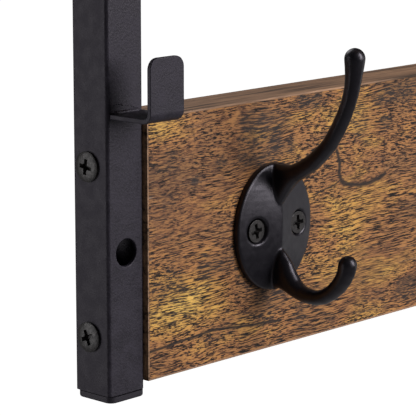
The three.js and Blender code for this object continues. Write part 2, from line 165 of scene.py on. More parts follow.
@contextlib.contextmanager
def editing(piece, kind="FACE"):
    """Edit mode on one piece, with nothing selected."""
    make_active(piece)
    bpy.ops.object.mode_set(mode="EDIT")
    bpy.ops.mesh.select_mode(type=kind)
    bpy.ops.mesh.select_all(action="DESELECT")
    yield
    bpy.ops.object.mode_set(mode="OBJECT")


def make_active(piece):
    bpy.ops.object.select_all(action="DESELECT")
    piece.select_set(True)
    bpy.context.view_layer.objects.active = piece


def pick(piece, kind, test):
    """Selects what passes the test: a face by centre and normal, an edge by centre and
    direction, or a vertex by place and normal."""
    shape = bmesh.from_edit_mesh(piece.data)
    if kind == "FACE":
        for face in shape.faces:
            face.select_set(bool(test(face.calc_center_median(), face.normal)))
    elif kind == "EDGE":
        for edge in shape.edges:
            start, end = (vertex.co for vertex in edge.verts)
            edge.select_set(bool(test((start + end) / 2, (end - start).normalized())))
    else:
        for vertex in shape.verts:
            vertex.select_set(bool(test(vertex.co, vertex.normal)))
    shape.select_flush_mode()
    bmesh.update_edit_mesh(piece.data)


def turn(angle, axis, centre=(0, 0, 0)):
    """Turns the selection right-handed about an axis. With no window the operator turns the
    other way, hence the sign."""
    bpy.ops.transform.rotate(value=-angle, orient_axis=axis, center_override=centre)


def settle(piece, name=None):
    """Puts a piece's place, turn and scale into its mesh."""
    make_active(piece)
    bpy.ops.object.transform_apply(location=True, rotation=True, scale=True)
    if name:
        piece.name = name
        piece.data.name = name
    return piece


def primitive(name, add, **settings):
    """Adds one primitive with nothing else selected."""
    bpy.ops.object.select_all(action="DESELECT")
    add(**settings)
    return settle(bpy.context.object, name)


def block(name, low, high):
    low, high = Vector(low), Vector(high)
    return primitive(name, bpy.ops.mesh.primitive_cube_add,
                     size=1, location=(low + high) / 2, scale=high - low)


def rod(name, radius, start, end, sides=32):
    """A round bar from start to end."""
    start, end = Vector(start), Vector(end)
    turned = (end - start).to_track_quat("Z", "Y").to_euler()
    return primitive(name, bpy.ops.mesh.primitive_cylinder_add,
                     vertices=sides, radius=radius, depth=(end - start).length,
                     location=(start + end) / 2, rotation=turned)


def modify(piece, kind, **settings):
    """Adds one modifier and applies it."""
    make_active(piece)
    modifier = piece.modifiers.new(kind.lower(), kind)
    for key, value in settings.items():
        setattr(modifier, key, value)
    bpy.ops.object.modifier_apply(modifier=modifier.name)


def discard(piece):
    mesh = piece.data
    bpy.data.objects.remove(piece)
    bpy.data.meshes.remove(mesh)


def cut(piece, *tools):
    for tool in tools:
        modify(piece, "BOOLEAN", object=tool, operation="DIFFERENCE", solver="EXACT")
        discard(tool)


def join(piece, *others):
    for other in others:
        modify(piece, "BOOLEAN", object=other, operation="UNION", solver="EXACT")
        discard(other)


def gather(piece, *others):
    """Makes several closed shells one piece, without merging their surfaces."""
    bpy.ops.object.select_all(action="DESELECT")
    for one in (piece, *others):
        one.select_set(True)
    bpy.context.view_layer.objects.active = piece
    bpy.ops.object.join()
    return piece


def clip(piece, point, normal):
    """Cuts away what lies on the normal's side of a plane and closes the cut."""
    with editing(piece):
        bpy.ops.mesh.select_all(action="SELECT")
        bpy.ops.mesh.bisect(plane_co=point, plane_no=normal, use_fill=True, clear_outer=True)


def bevel_edges(piece, width, segments, test):
    with editing(piece, "EDGE"):
        pick(piece, "EDGE", test)
        bpy.ops.mesh.bevel(offset=width, offset_type="OFFSET", segments=segments, affect="EDGES")


def soften(piece, width, segments=2, angle=30):
    modify(piece, "BEVEL", width=width, segments=segments, limit_method="ANGLE",
           angle_limit=math.radians(angle), use_clamp_overlap=True)


def face_outwards(piece):
    with editing(piece):
        bpy.ops.mesh.select_all(action="SELECT")
        bpy.ops.mesh.normals_make_consistent(inside=False)


def shade(piece, angle=35):
    """Smooth shading that keeps corners sharp and flat faces flat."""
    make_active(piece)
    bpy.ops.object.shade_smooth_by_angle(angle=math.radians(angle))
    modify(piece, "WEIGHTED_NORMAL", keep_sharp=True)


def copy_of(piece, name, matrix):
    """A copy with its own mesh, moved by a matrix that is then put into the mesh."""
    make_active(piece)
    bpy.ops.object.duplicate(linked=False)
    twin = bpy.context.object
    twin.matrix_world = matrix
    settle(twin, name)
    if matrix.determinant() < 0:
        face_outwards(twin)
    return twin


def mirrored(piece, name):
    return copy_of(piece, name, Matrix.Scale(-1, 4, (1, 0, 0)))


def hand_over(piece, material, slot, *nodes):
    """Gives a finished piece its material and sets it on the frame in place of its nodes."""
    piece.data.materials.clear()
    piece.data.materials.append(material)
    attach(piece, BODY)
    if nodes:
        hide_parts(*nodes)


def hand_over_both(piece, angle, material, slot, *nodes):
    """Mirrors a left piece, shades the two sides and hands both over."""
    twin = mirrored(piece, piece.name.replace("left", "right"))
    for side, one in (("left", piece), ("right", twin)):
        shade(one, angle)
        hand_over(one, material, slot, *[f"{side}_{node}" for node in nodes])


def extend(step, scale=None, centre=(0, 0, 0)):
    """Extrudes the selected face by a step and scales its new end."""
    bpy.ops.mesh.extrude_region()
    bpy.ops.transform.translate(value=step)
    if scale:
        bpy.ops.transform.resize(value=scale, center_override=centre)


def sweep(name, stations, sides):
    """A closed bar along a path in the plane x = 0. Each station is the distance out from
    y = 0, the height, the path's climb in radians, and the half width and half height there."""
    bar = primitive(name, bpy.ops.mesh.primitive_circle_add,
                    vertices=sides, radius=1, fill_type="NGON")
    with editing(bar, "VERT"):
        bpy.ops.mesh.select_all(action="SELECT")
        place = Vector((0, 0, 0))
        tilt, width, height = 0, 1, 1
        for index, (out, up, climb, new_width, new_height) in enumerate(stations):
            if index:
                bpy.ops.mesh.extrude_region()
            bpy.ops.transform.translate(value=-place)
            turn(-tilt, "X")
            place = Vector((0, -out, up))
            tilt = math.pi / 2 - climb
            bpy.ops.transform.resize(
                value=(new_width / width, new_height / height, 1), center_override=(0, 0, 0))
            width, height = new_width, new_height
            turn(tilt, "X")
            bpy.ops.transform.translate(value=place)
    face_outwards(bar)
    return bar


# ---- Finishes ----

def toned(tone, factor):
    return tuple(part * factor for part in tone)


class Finish:
    """A principled material and the nodes that feed it."""

    def __init__(self, name, gloss=0.5, metallic=0.0, shine=(1, 1, 1)):
        self.material = bpy.data.materials.new(name)
        self.material.use_nodes = True
        self.tree = self.material.node_tree
        self.tree.nodes.clear()
        self.shader = self.tree.nodes.new("ShaderNodeBsdfPrincipled")
        output = self.tree.nodes.new("ShaderNodeOutputMaterial")
        self.tree.links.new(self.shader.outputs["BSDF"], output.inputs["Surface"])
        self.shader.inputs["Specular IOR Level"].default_value = gloss
        self.shader.inputs["Specular Tint"].default_value = (*shine, 1)
        self.shader.inputs["Metallic"].default_value = metallic
        self.place = self.tree.nodes.new("ShaderNodeTexCoord").outputs["Object"]

    def node(self, kind, inputs, output=0, **settings):
        """One node: its settings, and its inputs as links or values. Returns an output."""
        made = self.tree.nodes.new(kind)
        for key, value in settings.items():
            setattr(made, key, value)
        for key, value in inputs.items():
            socket = made.inputs[key]
            if isinstance(value, bpy.types.NodeSocket):
                self.tree.links.new(value, socket)
            else:
                socket.default_value = value
        return made.outputs[output]

    def mapped(self, scale, vector=None, location=(0, 0, 0), rotation=(0, 0, 0)):
        return self.node("ShaderNodeMapping", {
            "Vector": vector or self.place, "Scale": scale,
            "Location": location, "Rotation": rotation})

    def noise(self, scale, vector=None, detail=3, roughness=0.5, distortion=0, seed=0):
        """Noise with a scale per axis, in features to the metre."""
        return self.node("ShaderNodeTexNoise", {
            "Vector": self.mapped(scale, vector, (seed, seed * 0.7, seed * 1.3)),
            "Scale": 1, "Detail": detail, "Roughness": roughness, "Distortion": distortion})

    def maths(self, operation, first, second=0.0, third=0.0, clamp=False):
        return self.node("ShaderNodeMath", {0: first, 1: second, 2: third},
                         operation=operation, use_clamp=clamp)

    def vectors(self, operation, *values, output=0):
        return self.node("ShaderNodeVectorMath", dict(enumerate(values)), output, operation=operation)

    def times(self, first, second):
        return self.maths("MULTIPLY", first, second)

    def fade(self, value, low, high, start=0.0, end=1.0):
        """Start below low, end above high and a smooth change between."""
        return self.node("ShaderNodeMapRange", {
            "Value": value, "From Min": low, "From Max": high, "To Min": start, "To Max": end},
            interpolation_type="SMOOTHSTEP")

    def ramp(self, value, stops):
        made = self.tree.nodes.new("ShaderNodeValToRGB")
        self.tree.links.new(value, made.inputs["Fac"])
        elements = made.color_ramp.elements
        while len(elements) < len(stops):
            elements.new(0.5)
        for element, (place, tone) in zip(elements, stops):
            element.position = place
            element.color = (*tone, 1)
        return made.outputs["Color"]

    def blend(self, share, first, second, mode="MIX"):
        def tone(value):
            return value if isinstance(value, bpy.types.NodeSocket) else (*value, 1)
        return self.node("ShaderNodeMix", {0: share, 6: tone(first), 7: tone(second)},
                         output=2, data_type="RGBA", blend_type=mode)

    def feed(self, socket, value):
        self.tree.links.new(value, self.shader.inputs[socket])

    def mottle(self, value, base, *stops):
        """Feeds the base colour, made darker or lighter by a factor along the value."""
        self.feed("Base Color", self.ramp(value, [(at, toned(base, factor)) for at, factor in stops]))

    def bump(self, height, distance, strength=1.0):
        self.feed("Normal", self.node("ShaderNodeBump", {
            "Height": height, "Distance": distance, "Strength": strength}))


# Violet cast of the black coats' shine
COAT_SHINE = (0.95, 0.87, 1.0)


def powder_coat(colours):
    """Fine-textured satin powder coat with soft mottling."""
    coat = Finish("satin_powder_coat", gloss=0.37, shine=COAT_SHINE)
    grain = coat.noise((1500, 1500, 1500), detail=3, roughness=0.6)
    cloud = coat.noise((260, 260, 260), detail=2, seed=4)
    mixed = coat.maths("ADD", coat.times(grain, 0.6), coat.times(cloud, 0.4))
    coat.mottle(mixed, colours.steel, (0.38, 0.6), (0.62, 1.35))
    coat.feed("Roughness", coat.fade(cloud, 0.3, 0.7, 0.46, 0.56))
    coat.bump(grain, 0.16 * MM, 0.6)
    return coat.material


def cast_enamel(colours):
    """Smooth semi-gloss enamel over a casting, with a trace of orange peel."""
    enamel = Finish("semi_gloss_enamel", gloss=0.41, shine=COAT_SHINE)
    peel = enamel.noise((420, 420, 420), detail=2)
    speck = enamel.noise((1900, 1900, 1900), detail=2, seed=7)
    enamel.mottle(speck, colours.casting, (0.4, 0.8), (0.7, 1.3))
    enamel.feed("Roughness", enamel.fade(peel, 0.3, 0.7, 0.30, 0.38))
    enamel.bump(enamel.maths("ADD", peel, enamel.times(speck, 0.25)), 0.08 * MM, 0.4)
    return enamel.material


def screw_oxide(colours):
    """Black oxide with small bright rubs."""
    oxide = Finish("black_oxide", metallic=0.35)
    rub = oxide.noise((900, 900, 900), detail=4, roughness=0.65)
    oxide.mottle(rub, colours.screw, (0.42, 1), (0.62, 2.2), (0.75, 5))
    oxide.feed("Roughness", oxide.fade(rub, 0.35, 0.7, 0.42, 0.3))
    oxide.bump(rub, 0.15 * MM, 0.5)
    return oxide.material


def moulded_plastic(colours):
    """Black plastic with a fine spark-eroded grain."""
    plastic = Finish("moulded_black_plastic", gloss=0.4, shine=COAT_SHINE)
    grain = plastic.noise((2600, 2600, 2600), detail=2)
    plastic.mottle(grain, colours.plastic, (0.35, 0.85), (0.65, 1.15))
    plastic.feed("Roughness", plastic.fade(grain, 0.3, 0.7, 0.45, 0.58))
    plastic.bump(grain, 0.06 * MM, 0.4)
    return plastic.material


# Marks on the hook board's front in millimetres: distance from its left end and depth below
# its top, half length, half height and strength
STAINS = (
    (52, 10, 11, 11, 1.0), (74, 2.5, 9, 3, 1.0), (119, 4, 10, 3.5, 1.0), (98, 14, 4, 7, 0.7),
    (11.5, 61, 2.2, 1.8, 1.0), (21, 20.5, 2.4, 1.6, 1.0), (32, 17.5, 2.2, 2.4, 0.9),
    (71, 72, 5, 3, 0.9), (29, 50, 7, 4, 0.8), (113, 14, 3, 2, 0.8), (9, 27, 5, 3, 0.5),
    (8, 52, 10, 7, 0.7), (54, 65, 7, 6, 0.6), (128, 74, 9, 4, 0.8), (104, 64, 14, 2.5, 0.35),
    (112, 74, 16, 2.5, 0.3),
)
GLOWS = (
    (94, 10, 18, 9, 1.0), (106, 43, 24, 11, 0.8), (8, 3, 12, 6, 0.6), (30, 56, 18, 10, 0.2),
    (27, 77, 26, 5, 0.6), (68, 22, 10, 6, 0.5),
)
# Calm areas with little grain and a few pale scratches
CALMS = (
    (12, 22, 26, 14, 1.0), (38, 10, 12, 12, 0.7), (98, 29, 17, 7, 0.8), (106, 66, 26, 9, 1.0),
)
# Cracks as chains of points, each with its half width
CRACKS = (
    (0.58, ((86.8, 20.5), (88.3, 24.5), (88.8, 28), (90.6, 30.4), (94.5, 31.9), (99, 32.8), (104, 32.9),
            (109, 32.4), (112.8, 31.2))),
    (0.2, ((90, 30), (86.5, 31.2), (81, 31.8), (75, 33))),
    (0.30, ((-1, 71.6), (12, 70.6), (28, 70.2), (42, 71), (60, 72.6))),
)


def marked(skin, place, marks, worn):
    """How much of the print the marks cover, with edges worn away by a noise."""
    covered = None
    for along, down, reach, drop, strength in marks:
        centred = skin.mapped((1 / (reach * MM), 0, 1 / (drop * MM)), skin.mapped(
            (1, 1, 1), place, location=(-along * MM, 0, down * MM)))
        distance = skin.vectors("LENGTH", centred, output=1)
        cover = skin.fade(skin.maths("ADD", distance, worn), 0.55, 1.45, strength, 0.0)
        covered = cover if covered is None else skin.maths("MAXIMUM", covered, cover)
    return covered


def cracked(skin, place):
    """Thin lines along the chains of points."""
    lines = None
    for width, chain in CRACKS:
        for (from_x, from_down), (to_x, to_down) in zip(chain, chain[1:]):
            start = Vector((from_x, 0, -from_down)) * MM
            run = Vector((to_x, 0, -to_down)) * MM - start
            flat = skin.vectors("MULTIPLY", skin.vectors("SUBTRACT", place, start), (1, 0, 1))
            reached = skin.vectors("DOT_PRODUCT", flat, run / run.length_squared, output=1)
            share = skin.maths("ADD", reached, clamp=True)
            nearest = skin.node("ShaderNodeVectorMath", {0: run, "Scale": share}, operation="SCALE")
            distance = skin.vectors("DISTANCE", flat, nearest, output=1)
            line = skin.fade(distance, width * 0.5 * MM, width * 2.2 * MM, 1.0, 0.0)
            lines = line if lines is None else skin.maths("MAXIMUM", lines, line)
    return lines


def rustic_print(name, colours, corner, rotation, seed, marks):
    """Sawn rustic wood print. The pattern runs along X, and corner is the board's front left
    top corner, from which the marks are placed."""
    skin = Finish(name, gloss=0.25)
    local = skin.mapped((1, 1, 1), location=tuple(-c for c in corner), rotation=rotation)
    sway = skin.node("ShaderNodeTexNoise", {
        "Vector": skin.mapped((34, 20, 55), local, (seed, 0, 0)), "Scale": 1, "Detail": 2}, output=1)
    wave = skin.vectors("SUBTRACT", sway, (0.5, 0.5, 0.5))
    swayed = skin.vectors("MULTIPLY_ADD", wave, (8 * MM, 0, 3.8 * MM), local)

    # Broad tone from red-brown to gold
    tone = skin.noise((17, 12, 46), swayed, detail=6, roughness=0.58, seed=seed)
    worn = skin.fade(skin.noise((110, 90, 190), swayed, detail=5, roughness=0.7, seed=seed + 7),
                     0.25, 0.75, -0.9, 0.9)
    if marks:
        tone = skin.maths("ADD", tone, skin.times(marked(skin, local, GLOWS, worn), 0.12))
    wood = skin.ramp(tone, [
        (0.36, tuple(colours.wood_deep)), (0.49, tuple(colours.wood_middle)),
        (0.61, tuple(colours.wood_light)), (0.72, tuple(colours.wood_gold))])
    # Saw ribs and grit, stronger in some places than in others
    ribs = skin.noise((150, 110, 2400), swayed, detail=3, roughness=0.6, seed=seed + 1)
    grit = skin.noise((560, 300, 2900), swayed, detail=2, roughness=0.6, seed=seed + 3)
    region = skin.noise((30, 20, 55), swayed, detail=3, seed=seed + 5)
    ribbed = skin.fade(region, 0.35, 0.65, 0.25, 0.85)
    relief = skin.maths("ADD", skin.times(ribs, ribbed),
                        skin.times(grit, skin.maths("SUBTRACT", 1.0, ribbed)))
    calm = skin.fade(region, 0.56, 0.40, 0.0, 0.6)
    if marks:
        calm = marked(skin, local, CALMS, worn)
    depth = skin.fade(calm, 0.0, 1.0, 2.1, 0.9)
    relief = skin.maths("MULTIPLY_ADD", skin.maths("SUBTRACT", relief, 0.5), depth, 0.5)
    wood = skin.blend(1.0, wood, skin.ramp(relief, [
        (0.385, (0.02, 0.025, 0.05)), (0.45, (0.52, 0.50, 0.54)), (0.50, (1.04, 1.01, 0.93)),
        (0.62, (2.0, 2.05, 1.43))]), "MULTIPLY")
    # Smoky patches
    cloud = skin.noise((26, 18, 40), swayed, detail=6, roughness=0.7, distortion=0.6, seed=seed + 2)
    smoke = skin.fade(cloud, 0.56, 0.70, 0.0, 0.8)
    if marks:
        smoke = skin.maths("MAXIMUM", smoke, marked(skin, local, STAINS, worn))
    smoke = skin.times(smoke, skin.fade(relief, 0.44, 0.58, 0.95, 0.30))
    wood = skin.blend(smoke, wood, tuple(colours.wood_smoke))
    # Black dashes
    dash = skin.noise((240, 150, 2200), swayed, detail=2, roughness=0.5, seed=seed + 4)
    crowd = skin.fade(skin.noise((40, 20, 70), swayed, detail=4, seed=seed + 6), 0.3, 0.7, 0.71, 0.60)
    dashes = skin.fade(skin.maths("SUBTRACT", dash, crowd), -0.02, 0.02, 0.0, 0.9)
    wood = skin.blend(dashes, wood, toned(colours.wood_smoke, 0.6))
    # Pale hairlines
    hair = skin.noise((7, 20, 420), local, detail=0, seed=seed + 18)
    pale = skin.fade(skin.maths("ABSOLUTE", skin.maths("SUBTRACT", hair, 0.5)),
                     0.002, 0.009, 0.5, 0.0)
    broken = skin.noise((60, 20, 200), local, detail=2, seed=seed + 9)
    pale = skin.times(skin.times(pale, skin.fade(broken, 0.48, 0.56)), calm)
    wood = skin.blend(pale, wood, toned(colours.wood_pale, 1.1))
    if marks:
        wood = skin.blend(skin.times(cracked(skin, swayed), 0.92), wood,
                          toned(colours.wood_smoke, 0.6))
    skin.feed("Base Color", wood)
    skin.feed("Roughness", skin.fade(relief, 0.35, 0.65, 0.62, 0.48))
    skin.bump(relief, 0.06 * MM, 0.5)
    return skin.material


def band_print(colours):
    """Grey-brown edge band with long streaks."""
    band = Finish("rustic_edge_band", gloss=0.35)
    streak = band.noise((16, 420, 520), detail=4, roughness=0.62, seed=3)
    tone = band.ramp(streak, [
        (0.34, toned(colours.band, 0.22)), (0.46, tuple(colours.band)), (0.68, toned(colours.band, 1.7))])
    fine = band.noise((130, 1500, 1500), detail=2, seed=5)
    tone = band.blend(1.0, tone, band.ramp(fine, [(0.3, (0.7, 0.7, 0.7)), (0.65, (1.2, 1.2, 1.2))]),
                      "MULTIPLY")
    band.feed("Base Color", tone)
    band.feed("Roughness", band.fade(streak, 0.3, 0.7, 0.62, 0.5))
    band.bump(streak, 0.05 * MM, 0.5)
    return band.material


# ---- Operators ----

def square_tube(name, centre, span, tilt, cuts, sizes):
    """Square tube through centre. Tilt 0 stands up and a quarter turn points to the front.
    Each cut is a point and the direction in which the tube is cut away."""
    half = Vector((TUBE / 2, TUBE / 2, span / 2))
    bar = block(name, -half, half)
    bevel_edges(bar, sizes.tube_corner, 5, lambda at, along: abs(along.z) > 0.9)
    hollow = half - Vector((sizes.tube_wall, sizes.tube_wall, -span / 2))
    bore = block("bore", -hollow, hollow)
    place = Matrix.Translation(centre) @ Matrix.Rotation(tilt, 4, "X")
    for piece in (bar, bore):
        piece.matrix_world = place
        settle(piece)
    for point, normal in cuts:
        clip(bar, point, normal)
    cut(bar, bore)
    return bar


def weld_bead(name, start, end, radius):
    """A ripple of overlapping weld drops from start to end."""
    start, end = Vector(start), Vector(end)
    run = (end - start).length
    drops = max(3, round(run / (radius * 1.1)))
    stations = []
    for step in range(drops * 4 + 1):
        share = step / (drops * 4)
        ripple = 0.86 + 0.14 * abs(math.sin(math.pi * share * drops))
        taper = min(1, 0.35 + 6 * min(share, 1 - share))
        stations.append((share * run, 0, 0, radius * ripple * taper, radius * ripple * taper))
    bead = sweep(name, stations, 12)
    bead.matrix_world = Matrix.Translation(start) @ (
        Vector((0, -1, 0)).rotation_difference(end - start).to_matrix().to_4x4())
    return settle(bead)


class RACK_OT_steel_frame(bpy.types.Operator):
    """Models the posts, arms and braces from square tube and welds them"""
    bl_idname = "rack.steel_frame"
    bl_label = "Steel side frames"

    def execute(self, context):
        sizes = context.scene.rack_sizes
        coat = powder_coat(context.scene.rack_colours)
        mitre = Vector((0, -1, 1))
        corner = Vector((POST_X, POST_LOW.y, ARM_LOW.z))
        gap = Vector((0, 0, POST_HIGH.y - ARM_HIGH.y))
        rise = POST_HIGH.z - POST_LOW.z
        post = square_tube(
            "left_upright", (POST_X, POST_Y, POST_LOW.z + rise / 2), rise, 0, [(corner, mitre)], sizes)
        self.add_holes(post, sizes)
        reach = ARM_HIGH.y - ARM_LOW.y
        arm = square_tube(
            "left_shelf_arm", (POST_X, (ARM_LOW.y + ARM_HIGH.y) / 2, ARM_Z), reach, math.pi / 2,
            [(corner + gap, -mitre)], sizes)
        self.add_side_bores(arm, "left_shelf_screw", sizes)
        brace = square_tube(
            "left_diagonal_brace", (BRACE_FOOT + BRACE_TIP) / 2,
            (BRACE_TIP - BRACE_FOOT).length + 2 * TUBE, math.pi / 4,
            [(BRACE_FOOT, (0, 1, 0)), (BRACE_TIP, (0, 0, 1))], sizes)
        for piece, node in ((post, "post"), (arm, "arm"), (brace, "brace")):
            hand_over_both(piece, 35, coat, "powder_coat", node)
        self.add_welds(coat, sizes)
        return {"FINISHED"}

    def add_holes(self, post, sizes):
        """The wall screws' ways through the front and rear walls, with rounded front edges."""
        for z in (LOWER_HOLE_Z, BRACE_FOOT.z - sizes.upper_hole_drop):
            front, middle, back = ((POST_X, y, z) for y in (POST_LOW.y - TUBE, POST_Y, 0))
            cut(post, rod("tool", sizes.wall_access / 2, front, middle, 48),
                rod("tool", sizes.wall_hole / 2, middle, back, 32))

            def on_rim(at, along, z=z):
                off_axis = math.hypot(at.x - POST_X, at.z - z)
                on_face = abs(at.y - POST_LOW.y) < NEAR
                return on_face and abs(off_axis - sizes.wall_access / 2) < 10 * NEAR
            bevel_edges(post, sizes.hole_edge, 3, on_rim)
        self.add_side_bores(post, "left_board_screw", sizes)

    def add_side_bores(self, tube, row, sizes):
        for name in (n for n in SIDE_SCREWS if n.startswith(row)):
            _, y, z = centre_of(name)
            cut(tube, rod("tool", sizes.side_bore / 2, (POST_X - TUBE, y, z), (POST_X + TUBE, y, z), 24))

    def add_welds(self, coat, sizes):
        """Beads across the faces where the tubes meet."""
        near, far = POST_LOW.x + sizes.tube_corner, POST_HIGH.x - sizes.tube_corner
        seams = {
            "brace_foot_weld": (BRACE_FOOT.y, BRACE_LOW.z),
            "brace_tip_weld": (BRACE_LOW.y, BRACE_TIP.z),
            "corner_weld": (POST_LOW.y, ARM_LOW.z),
        }
        for name, (y, z) in seams.items():
            bead = weld_bead(f"left_{name}", (near, y, z), (far, y, z), sizes.weld_radius)
            hand_over_both(bead, 60, coat, "powder_coat")


# Weld spatter: how many drops, and the steps that spread them along, up and in size
SPATTER_DROPS = 12
SPATTER_STEPS = (0.618, 0.382, 0.271)


class RACK_OT_strip_hooks(bpy.types.Operator):
    """Bends the two flat strip hooks and welds them on the posts"""
    bl_idname = "rack.strip_hooks"
    bl_label = "Strip hooks"

    def execute(self, context):
        sizes = context.scene.rack_sizes
        coat = bpy.data.materials["satin_powder_coat"]
        low, high = STRIP_LOW, STRIP_HIGH
        thick, bend = sizes.strip_thickness, sizes.strip_bend
        strip = block("left_bent_strip", (low.x, low.y + bend, low.z), (high.x, high.y, low.z + thick))
        with editing(strip):
            pick(strip, "FACE", lambda at, normal: normal.y < -0.9)
            bpy.ops.mesh.spin(
                steps=8, angle=math.pi / 2, axis=(1, 0, 0),
                center=(low.x, low.y + bend, low.z + bend))
            bpy.ops.mesh.select_all(action="SELECT")
            bpy.ops.mesh.remove_doubles(threshold=NEAR)
            bpy.ops.mesh.normals_make_consistent(inside=False)
            pick(strip, "FACE", lambda at, normal: normal.z > 0.9 and at.y < low.y + thick)
            extend((0, 0, high.z - low.z - bend))
        bevel_edges(strip, sizes.strip_corner, 8,
                    lambda at, along: at.z > high.z - NEAR and abs(along.y) > 0.9)
        soften(strip, sizes.strip_edge, 3)
        weld = self.weld(sizes)
        hand_over_both(strip, 50, coat, "powder_coat", "strip_hook")
        hand_over_both(weld, 50, coat, "powder_coat")
        return {"FINISHED"}

    def weld(self, sizes):
        """The bead along the top of the plate, with a few drops of spatter above it."""
        top = STRIP_LOW.z + sizes.strip_thickness
        inset = sizes.strip_thickness
        bead = weld_bead(
            "left_strip_weld", (STRIP_LOW.x + inset, STRIP_HIGH.y, top),
            (STRIP_HIGH.x - inset, STRIP_HIGH.y, top), sizes.weld_radius * 0.8)
        drops = []
        for index in range(SPATTER_DROPS):
            along, up, size = ((index * step) % 1 for step in SPATTER_STEPS)
            x = STRIP_LOW.x + 2 * MM + along * (STRIP_HIGH.x - STRIP_LOW.x - 4 * MM)
            z = top + (0.8 + 2.2 * up) * MM
            radius = sizes.spatter * (0.53 + 0.47 * size)
            drops.append(primitive(
                "spatter", bpy.ops.mesh.primitive_ico_sphere_add, subdivisions=2,
                radius=radius, location=(x, POST_LOW.y, z), scale=(1.4, 0.7, 1)))
        return gather(bead, *drops)


class RACK_OT_end_caps(bpy.types.Operator):
    """Models the plastic caps that close the posts and the arms"""
    bl_idname = "rack.end_caps"
    bl_label = "End caps"

    def execute(self, context):
        sizes = context.scene.rack_sizes
        plastic = moulded_plastic(context.scene.rack_colours)
        post_cap = self.cap(
            "left_foot_cap", POST_CAP_LOW.x, POST_CAP_HIGH.x, POST_CAP_HIGH.z - POST_CAP_LOW.z, sizes)
        post_cap.matrix_world = Matrix.Translation((POST_X, POST_Y, POST_CAP_LOW.z))
        arm_cap = self.cap(
            "left_arm_plug", ARM_CAP_LOW.x, ARM_CAP_HIGH.x, ARM_CAP_HIGH.y - ARM_CAP_LOW.y, sizes)
        arm_cap.matrix_world = (Matrix.Translation((POST_X, ARM_CAP_LOW.y, ARM_Z))
                                @ Matrix.Rotation(-math.pi / 2, 4, "X"))
        for piece, node in ((post_cap, "post_cap"), (arm_cap, "arm_cap")):
            settle(piece)
            hand_over_both(piece, 50, plastic, "cap_plastic", node)
        return {"FINISHED"}

    def cap(self, name, low_x, high_x, depth, sizes):
        """Flange under z = 0 upwards, with a hollow insert above it, centred on the tube."""
        half = TUBE / 2
        flange = block(name, (low_x - POST_X, -half, 0), (high_x - POST_X, half, sizes.cap_flange))
        bevel_edges(flange, sizes.cap_corner, 6, lambda at, along: abs(along.z) > 0.9)
        bevel_edges(flange, sizes.cap_edge, 3, lambda at, along: at.z < NEAR)
        core = sizes.cap_insert / 2
        bore = core - sizes.cap_wall
        insert = block("insert", (-core, -core, sizes.cap_flange / 2), (core, core, depth))
        bevel_edges(insert, MM, 3, lambda at, along: abs(along.z) > 0.9)
        cut(insert, block("tool", (-bore, -bore, sizes.cap_flange), (bore, bore, depth + FAR)))
        join(flange, insert)
        return flange


class RACK_OT_boards(bpy.types.Operator):
    """Prints the boards' faces and models their edge bands"""
    bl_idname = "rack.boards"
    bl_label = "Boards and edge bands"

    def execute(self, context):
        sizes = context.scene.rack_sizes
        colours = context.scene.rack_colours
        board_corner = (BOARD_LOW.x, BOARD_LOW.y, BOARD_HIGH.z)
        faces = {
            "hook_board_core": rustic_print(
                "rustic_hook_board", colours, board_corner, (0, 0, 0), 2, True),
            "shelf_core": rustic_print(
                "rustic_shelf", colours, (SHELF_LOW.x, 0, 0), (math.pi / 2, 0, 0), 9, False),
        }
        for node, material in faces.items():
            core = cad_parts[node]
            core.data.materials.clear()
            core.data.materials.append(material)
        band = band_print(colours)
        for node in BANDS:
            piece = block(node.replace("_band_", "_edging_"), *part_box(node))
            self.bore(piece, node, sizes)
            soften(piece, sizes.band_edge, 2, 60)
            shade(piece)
            hand_over(piece, band, "board_edge", node)
        return {"FINISHED"}

    def bore(self, piece, node, sizes):
        """Pilot holes through the bands that the side screws pass."""
        side = node.rsplit("_", 1)[1]
        row = "board_screw" if node.startswith("hook_board") else "shelf_screw"
        for name in (n for n in SIDE_SCREWS if n.startswith(f"{side}_{row}")):
            _, y, z = centre_of(name)
            x = centre_of(node).x
            cut(piece, rod("tool", sizes.pilot_hole / 2, (x - TUBE, y, z), (x + TUBE, y, z), 24))


# Prong centre lines and sections in millimetres: distance from the board, height over the
# base's centre, climb in degrees, half width and half height
UPPER_PRONG = (
    (1.2, 13.0, 0, 2.6, 7.4), (3.2, 13.3, 0, 2.6, 7.1), (4.6, 14.3, 6, 2.65, 6.2),
    (6.2, 15.7, 12, 2.75, 4.9), (8.0, 17.0, 18, 2.85, 3.8), (10.0, 18.1, 24, 2.88, 3.0),
    (13.0, 19.7, 29, 2.8, 2.8), (17.3, 22.4, 36, 2.7, 2.7), (20.9, 25.6, 43, 2.6, 2.6),
    (24.1, 28.9, 50, 2.52, 2.52), (27.5, 34.2, 58, 2.48, 2.48), (29.9, 38.8, 64, 2.42, 2.42),
    (31.6, 42.9, 70, 2.38, 2.38), (32.7, 46.8, 77, 2.46, 2.46), (33.3, 50.5, 83, 2.68, 2.68),
    (33.6, 54.0, 87, 3.05, 3.05), (33.7, 56.4, 90, 3.32, 3.32),
)
LOWER_PRONG = (
    (1.0, -13.2, 0, 2.1, 7.5), (2.8, -13.3, 0, 2.5, 7.4), (4.4, -13.9, -14, 2.95, 6.5),
    (6.2, -15.3, -28, 3.1, 5.1), (8.2, -17.0, -34, 3.1, 3.9), (10.6, -18.7, -28, 2.9, 3.05),
    (13.2, -19.9, -18, 2.65, 2.65), (16.2, -20.5, -7, 2.5, 2.5), (19.4, -20.5, 8, 2.42, 2.42),
    (22.6, -19.6, 24, 2.44, 2.44), (25.6, -17.8, 36, 2.52, 2.52), (28.2, -15.5, 46, 2.64, 2.64),
    (30.2, -12.9, 60, 2.76, 2.76), (31.4, -10.3, 74, 2.9, 2.9), (31.9, -8.0, 84, 3.0, 3.0),
)
TIP_STEPS = 5


